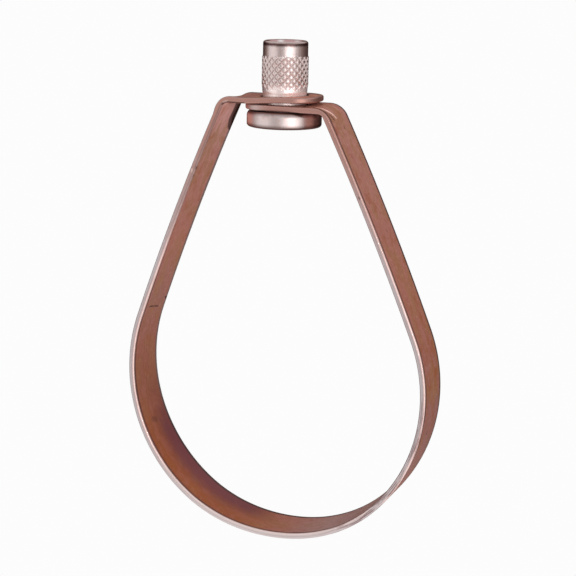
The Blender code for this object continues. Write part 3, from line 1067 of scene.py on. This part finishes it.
def nut_profile(sizes):
    """The nut's closed profile as (radius, height above the foot) points, from the foot of the bore."""
    foot_inside = (sizes.thread_radius + sizes.foot_chamfer, 0.0)
    bore_foot = (sizes.thread_radius, sizes.foot_chamfer)
    flange = quarter_round(sizes.flange_radius - sizes.flange_foot_round, sizes.flange_foot_round,
                           sizes.flange_foot_round, -90, 0)
    flange += quarter_round(sizes.flange_radius - sizes.flange_top_round,
                            sizes.flange_height - sizes.flange_top_round, sizes.flange_top_round, 0, 90)
    stock = sizes.body_radius
    knurl_top = sizes.knurl_base + sizes.knurl_height
    neck = [(sizes.neck_radius + NECK_FILLET, sizes.flange_height),
            (sizes.neck_radius, sizes.flange_height + NECK_FILLET)]
    for step in range(LEAD_IN_STEPS):
        share = step / LEAD_IN_STEPS
        radius = sizes.neck_radius + (stock - sizes.neck_radius) * smooth(share)
        neck.append((radius, sizes.knurl_base - sizes.knurl_lead_in * (1 - share)))
    knurl = [(stock, sizes.knurl_base)]
    knurl += straight(knurl[0], (stock, knurl_top),
                      round(sizes.knurl_height / sizes.knurl_pitch * STEPS_PER_KNURL_ROW))
    knurl += [(stock, knurl_top)]
    crown = quarter_round(sizes.body_radius - sizes.rim_round, sizes.height - sizes.rim_round,
                          sizes.rim_round, 0, 90)
    mouth = [(sizes.mouth_radius + LIP_ROUND, sizes.height),
             (sizes.mouth_radius - LIP_ROUND / 2, sizes.height - LIP_ROUND)]
    bore_top = (sizes.thread_radius, sizes.height - sizes.mouth_depth)
    pitches = (bore_top[1] - bore_foot[1]) / sizes.thread_pitch
    bore = [bore_top] + straight(bore_top, bore_foot, round(pitches * STEPS_PER_PITCH)) + [bore_foot]
    return [foot_inside] + flange + neck + knurl + crown + mouth + bore


def nut_tree(values):
    """The Geometry Nodes that turn a profile round Z, cut the knurl outside it and the thread inside.

    The group has an input for each of these values, which are numbers and one material.
    """
    group = bpy.data.node_groups.new("turned_knurled_nut", "GeometryNodeTree")
    face = group.interface
    face.new_socket("Profile", in_out="INPUT", socket_type="NodeSocketGeometry")
    for name, value in values.items():
        kind = SOCKET_KINDS.get(type(value), "NodeSocketMaterial")
        face.new_socket(name, in_out="INPUT", socket_type=kind)
    face.new_socket("Nut", in_out="OUTPUT", socket_type="NodeSocketGeometry")

    tree = Tree(group)
    given = tree.node("NodeGroupInput", None, None, "Profile")
    rows = tree.node("GeometryNodeAttributeDomainSize", {"component": "MESH"}, {"Geometry": given},
                     "Point Count")
    columns = given.also("Columns")
    grid = tree.node("GeometryNodeMeshGrid", None, {"Vertices X": columns + 1, "Vertices Y": rows + 1},
                     "Mesh")

    index = tree.node("GeometryNodeInputIndex")
    column = tree.math("FLOOR", (index + 0.5) / (rows + 1))
    row = index - column * (rows + 1)
    turned = tree.math("MODULO", column + 0.5, columns) - 0.5
    profile_row = tree.math("FLOOR", tree.math("MODULO", row + 0.5, rows))
    corner = tree.node("GeometryNodeSampleIndex", {"data_type": "FLOAT_VECTOR", "domain": "POINT"},
                       {"Geometry": given, "Value": tree.node("GeometryNodeInputPosition"),
                        "Index": profile_row}, "Value")
    split = tree.node("ShaderNodeSeparateXYZ", None, {"Vector": corner})
    radius = split.also("X")
    height = split.also("Z")
    share = turned / columns
    angle = share * (2 * math.pi)

    # The knurl is two crossed sets of grooves, and its ends run out softly.
    base = given.also("Knurl base")
    tall = given.also("Knurl height")
    up = (height - base) / given.also("Knurl pitch")
    around = share * given.also("Knurl starts")
    from_row = abs(up - tree.math("ROUND", up))
    from_column = abs(around - tree.math("ROUND", around))
    slope = abs(1 - (from_row + from_column) * 2) * given.also("Knurl sharpness")
    diamond = tree.math("MINIMUM", slope, 1.0)
    end_distance = tree.math("MINIMUM", (height - base) * KNURL_FOOT_SHARE, base + tall - height)
    run_out = tree.step(end_distance, 0.0, KNURL_RUN_OUT)
    outside = radius > given.also("Bore radius") * OUTSIDE_SHARE
    in_knurl = outside * (end_distance > 0.0) * run_out
    knurl = in_knurl * (given.also("Knurl crest") - radius - given.also("Knurl depth") * (1 - diamond))

    # The thread is one V groove that climbs by its pitch in each turn.
    pitch = given.also("Thread pitch")
    phase = tree.math("FRACT", height / pitch - share + TURNS_BELOW)
    flank = THREAD_FLAT - abs(phase - 0.5) * THREAD_FLANK
    groove = tree.math("MINIMUM", tree.math("MAXIMUM", flank, 0.0), 1.0)
    from_ends = tree.math("MINIMUM", height - given.also("Thread foot"), given.also("Thread top") - height)
    in_bore = (1 - outside) * tree.step(from_ends, 0.0, THREAD_RUN_OUT)
    thread = in_bore * groove * given.also("Thread depth")

    new_radius = radius + knurl + thread
    place = tree.combine(new_radius * tree.math("COSINE", angle), new_radius * tree.math("SINE", angle),
                         height + given.also("Foot height"))
    recess = in_knurl * (1 - diamond) + in_bore * groove
    nut = grid
    for kind, settings, sockets in (
            ("GeometryNodeSetPosition", None, {"Position": place}),
            ("GeometryNodeStoreNamedAttribute", {"data_type": "FLOAT", "domain": "POINT"},
             {"Name": "recess", "Value": recess}),
            ("GeometryNodeMergeByDistance", None, {"Distance": SEAM_GAP}),
            ("GeometryNodeSetShadeSmooth", None, {"Shade Smooth": True}),
            ("GeometryNodeRealizeInstances", None, {}),
            ("GeometryNodeSetMaterial", None, {"Material": given.also("Finish")})):
        nut = tree.node(kind, settings, {"Geometry": nut, **sockets}, "Geometry")
    tree.node("NodeGroupOutput", None, {"Nut": nut})
    return group


def run_tree(carrier, group, values):
    """Run Geometry Nodes on an object with these input values. Return the result as a plain mesh."""
    modifier = carrier.modifiers.new(group.name, "NODES")
    modifier.node_group = group
    for item in group.interface.items_tree:
        if item.in_out == "INPUT" and item.name in values:
            modifier[item.identifier] = values[item.name]
    graph = bpy.context.evaluated_depsgraph_get()
    mesh = bpy.data.meshes.new_from_object(carrier.evaluated_get(graph), preserve_all_data_layers=True,
                                           depsgraph=graph)
    carrier.modifiers.remove(modifier)
    return mesh


def build_nut(sizes, material):
    """The turned nut, as one closed mesh."""
    profile = nut_profile(sizes)
    line = bpy.data.meshes.new("nut_profile")
    line.from_pydata([(radius, 0.0, height) for radius, height in profile],
                     [(index, index + 1) for index in range(len(profile) - 1)], [])
    nut = add_object("nut", line)
    values = {
        "Columns": sizes.knurl_starts * STEPS_PER_DIAMOND,
        "Knurl starts": sizes.knurl_starts,
        "Knurl base": sizes.knurl_base,
        "Knurl height": sizes.knurl_height,
        "Knurl pitch": sizes.knurl_pitch,
        "Knurl crest": sizes.knurl_crest_radius,
        "Knurl depth": sizes.knurl_depth,
        "Knurl sharpness": sizes.knurl_sharpness,
        "Bore radius": sizes.thread_radius,
        "Thread foot": sizes.foot_chamfer,
        "Thread top": sizes.height - sizes.mouth_depth,
        "Thread depth": sizes.thread_depth,
        "Thread pitch": sizes.thread_pitch,
        "Foot height": NUT_FOOT_Z,
        "Finish": material,
    }
    mesh = run_tree(nut, nut_tree(values), values)
    face_outwards(mesh)
    mesh.set_sharp_from_angle(angle=math.radians(SHARP_DEGREES))
    nut.data = mesh
    bpy.data.meshes.remove(line)
    return nut


def nut_finish(sizes):
    """Bright copper plate on a turned nut: fine turning lines, and redder plate in its recesses."""
    material, tree = new_material("nut_copper_finish")
    recess = tree.node("ShaderNodeAttribute", {"attribute_name": "recess"}, None, "Fac")
    place = tree.vector("MULTIPLY", tree.node("ShaderNodeTexCoord", None, None, "Object"), (1 / MM,) * 3)
    split = tree.node("ShaderNodeSeparateXYZ", None, {"Vector": place})
    up = split.also("Z")
    aside = split.also("X") * ASIDE_X + split.also("Y") * ASIDE_Y
    radius = tree.math("SQRT", split.also("X") ** 2 + split.also("Y") ** 2)
    turned = tree.vector("MULTIPLY", tree.combine(radius, 0.0, up), (7.0, 1.0, 7.0))
    off_centre = tree.vector("MULTIPLY", place, (0.12, 0.12, 0.0))
    lines = tree.noise(tree.vector("ADD", turned, off_centre), 1.0, 3.0, 0.6)
    drift = tree.noise(place, 0.35, 2.0, 0.5)
    smudges = tree.noise(place, 0.7, 4.0, 0.6, 0.3)
    specks = tree.noise(place, 4.5, 2.0, 0.6)

    # Painted shade: the plate is darkened round the rim and on the flange's two rounds, which turn away
    # from the light.
    foot = NUT_FOOT_Z / MM
    mouth = sizes.mouth_radius / MM
    wander = (smudges - 0.5) * 0.5
    rim = tree.hump(up + wander, -0.95, 1.05) * tree.step(radius, mouth - 0.2, mouth + 0.2)
    flange_foot = tree.hump(up + wander * 0.6, foot + 0.25, 1.7)
    flange_top = tree.hump(up + wander, foot + sizes.flange_height / MM, 1.7)
    shaded_rounds = tree.math("MAXIMUM", rim * 0.97, tree.math("MAXIMUM", flange_foot * 0.95, flange_top * 0.7))
    inside = 1 - tree.step(radius, mouth - 0.15, mouth + 0.05)
    glint = tree.math("MAXIMUM", tree.hump(aside, -1.7, 1.7), tree.hump(aside, 4.0, 1.5) * 0.6)
    # Painted shade on the flange's side towards the camera's right
    shaded_side = tree.step(aside + (smudges - 0.5) * 2.4, 8.4, 10.6)
    # Painted highlight on the neck, which is also made a little less metallic
    neck = tree.zone(up - foot, *NECK_HIGHLIGHT_ZONE)
    colour = tree.layers(
        sizes.plate_colour,
        (tree.step(smudges, 0.46, 0.74) * 0.45, SMUDGED_PLATE),
        ((lines - 0.5) * 0.8 + 0.15, TURNED_LINES, "OVERLAY"),
        (tree.step(recess, 0.45, 1.0) * 0.55, sizes.groove_colour),
        (shaded_rounds, ROUND_SHADE),
        # Painted shade inside the mouth, two painted glints across it, and darker shade just inside its lip
        (inside * 0.8, MOUTH_SHADE),
        (inside * glint, MOUTH_GLINT),
        (inside * tree.step(up, -0.42, -0.12) * 0.85, LIP_SHADE),
        (shaded_side * 0.7, FLANGE_SIDE_SHADE),
        (neck * 0.4, NECK_HIGHLIGHT),
    )
    low = 1 - tree.step(up, foot + 5.0, foot + 9.0)
    roughness = 0.25 + low * 0.08 + (smudges - 0.5) * 0.14 + recess * 0.12 + (specks - 0.5) * 0.06
    height = (lines - 0.5) * 0.012 + (specks - 0.5) * 0.004 + (drift - 0.5) * 0.03
    finish_material(tree, colour, 1 - neck * 0.17, roughness, height, NUT_SHEEN)
    return material


def studio_world(sizes):
    """Soft light from all round that is pale below and in front, and darker at the sides and behind."""
    world = bpy.data.worlds.new("studio")
    world.use_nodes = True
    tree = Tree(world.node_tree)
    direction = tree.node("ShaderNodeTexCoord", None, None, "Generated")
    split = tree.node("ShaderNodeSeparateXYZ", None, {"Vector": direction})
    azimuth = tree.math("ARCTAN2", split.also("X"), 0 - split.also("Y"))
    view = Vector(sizes.camera_place) - Vector(sizes.camera_target)
    camera_turn = math.degrees(math.atan2(view.x, -view.y))
    stops = [(((turn + camera_turn + 180) % 360) / 360, (value / 2,) * 3) for turn, value in GLOW]
    around = tree.node("ShaderNodeValToRGB", {"stops": sorted(stops)},
                       {"Fac": azimuth / (2 * math.pi) + 0.5}, "Color")
    level = around * 2.0
    for glow, begin, full in (GLOW_BELOW, GLOW_ABOVE):
        level = level + (glow - level) * tree.step(split.also("Z"), begin, full)
    seen = tree.node("ShaderNodeLightPath", None, None, "Is Camera Ray")
    level = level + (1.0 - level) * seen
    warmth = 1 - tree.step(level, 0.05, 0.6)
    light = tree.mix(warmth, WHITE, WARM_LIGHT)
    shade = tree.node("ShaderNodeBackground", None, {"Color": light, "Strength": level})
    tree.node("ShaderNodeOutputWorld", None, {"Surface": shade})
    return world


def floor_finish(sizes):
    """The pale floor's own bright paint."""
    material, tree = new_material("pale_floor")
    paint = tree.node("ShaderNodeEmission", None, {"Color": rgba(sizes.floor_colour), "Strength": 1.0})
    tree.node("ShaderNodeOutputMaterial", None, {"Surface": paint})
    return material


def add_light(name, watts, measures, target):
    """An area light that shines on the target."""
    azimuth, elevation, distance, width, height = measures
    lamp = bpy.data.lights.new(name, "AREA")
    lamp.shape = "RECTANGLE"
    lamp.size = width
    lamp.size_y = height
    lamp.energy = watts
    light = add_object(name, lamp)
    back = direction_to(math.radians(azimuth), math.radians(elevation))
    light.location = target + back * distance
    light.rotation_mode = "QUATERNION"
    light.rotation_quaternion = back.to_track_quat("Z", "Y")
    light.visible_glossy = False


def direction_to(azimuth, elevation):
    """Unit vector from the hanger to something at this azimuth and elevation."""
    return Vector((math.sin(azimuth) * math.cos(elevation), -math.cos(azimuth) * math.cos(elevation),
                   math.sin(elevation)))


def build_stage(sizes):
    """The floor, the lights, the world and the camera."""
    half = sizes.floor_width / 2
    mesh = bpy.data.meshes.new("floor")
    square = ((-half, -half), (half, -half), (half, half), (-half, half))
    corners = [(x, y, -sizes.floor_depth) for x, y in square]
    mesh.from_pydata(corners, [], [(0, 1, 2, 3)])
    mesh.materials.append(floor_finish(sizes))
    floor = add_object("floor", mesh)
    floor.visible_diffuse = False
    floor.visible_glossy = False
    floor.visible_shadow = False

    scene = bpy.context.scene
    scene.world = studio_world(sizes)
    scene.view_settings.view_transform = "Standard"
    target = Vector(sizes.camera_target)
    add_light("key", sizes.key_watts, KEY_LIGHT, target)
    add_light("fill", sizes.fill_watts, FILL_LIGHT, target)

    lens = bpy.data.cameras.new("camera")
    lens.sensor_width = SENSOR_MM
    lens.lens = sizes.lens
    lens.clip_start = NEAREST_SEEN
    lens.clip_end = FARTHEST_SEEN
    camera = add_object("camera", lens)
    back = (Vector(sizes.camera_place) - target).normalized()
    level_right = Vector((0.0, 0.0, 1.0)).cross(back).normalized()
    level_up = back.cross(level_right)
    right = level_right * math.cos(sizes.camera_roll) + level_up * math.sin(sizes.camera_roll)
    up = level_up * math.cos(sizes.camera_roll) - level_right * math.sin(sizes.camera_roll)
    turn = Matrix((right, up, back)).transposed()
    camera.matrix_world = Matrix.Translation(Vector(sizes.camera_place)) @ turn.to_4x4()
    scene.camera = camera


class HANGER_OT_band(bpy.types.Operator):
    """Bend the copper-plated strip into the ring, its shoulders and its two pierced tabs"""

    bl_idname = "hanger.band"
    bl_label = "Band"

    def execute(self, context):
        sizes = context.scene.hanger_band
        band = build_band(sizes, strip_finish(sizes))
        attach(band, "ring")
        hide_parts("ring_band")
        return {"FINISHED"}


class HANGER_OT_nut(bpy.types.Operator):
    """Turn, knurl and thread the copper-plated nut"""

    bl_idname = "hanger.nut"
    bl_label = "Nut"

    def execute(self, context):
        sizes = context.scene.hanger_nut
        nut = build_nut(sizes, nut_finish(sizes))
        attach(nut, "nut")
        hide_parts("swivel_nut")
        return {"FINISHED"}


class HANGER_OT_stage(bpy.types.Operator):
    """Lay the pale floor, and set the lights and the camera"""

    bl_idname = "hanger.stage"
    bl_label = "Stage"

    def execute(self, context):
        build_stage(context.scene.hanger_stage)
        return {"FINISHED"}


class HANGER_PT_parts(bpy.types.Panel):
    """The hanger's sizes and the buttons that make it"""

    bl_idname = "HANGER_PT_parts"
    bl_label = "Swivel ring hanger"
    bl_space_type = "VIEW_3D"
    bl_region_type = "UI"
    bl_category = "Hanger"

    def draw(self, context):
        groups = (("hanger.band", context.scene.hanger_band), ("hanger.nut", context.scene.hanger_nut),
                  ("hanger.stage", context.scene.hanger_stage))
        for operator, sizes in groups:
            box = self.layout.box()
            box.operator(operator)
            for name in sizes.__annotations__:
                box.prop(sizes, name)


CLASSES = (BandSizes, NutSizes, StageSizes, HANGER_OT_band, HANGER_OT_nut, HANGER_OT_stage, HANGER_PT_parts)


def register():
    """Add the classes and the three groups of sizes."""
    for entry in CLASSES:
        bpy.utils.register_class(entry)
    bpy.types.Scene.hanger_band = PointerProperty(type=BandSizes)
    bpy.types.Scene.hanger_nut = PointerProperty(type=NutSizes)
    bpy.types.Scene.hanger_stage = PointerProperty(type=StageSizes)


def unregister():
    """Take the three groups of sizes and the classes away."""
    del bpy.types.Scene.hanger_stage
    del bpy.types.Scene.hanger_nut
    del bpy.types.Scene.hanger_band
    for entry in reversed(CLASSES):
        bpy.utils.unregister_class(entry)


def main():
    """Add the three groups of sizes, and make the band, the nut and the stage."""
    register()
    bpy.ops.hanger.band()
    bpy.ops.hanger.nut()
    bpy.ops.hanger.stage()


if __name__ == "__main__":
    main()
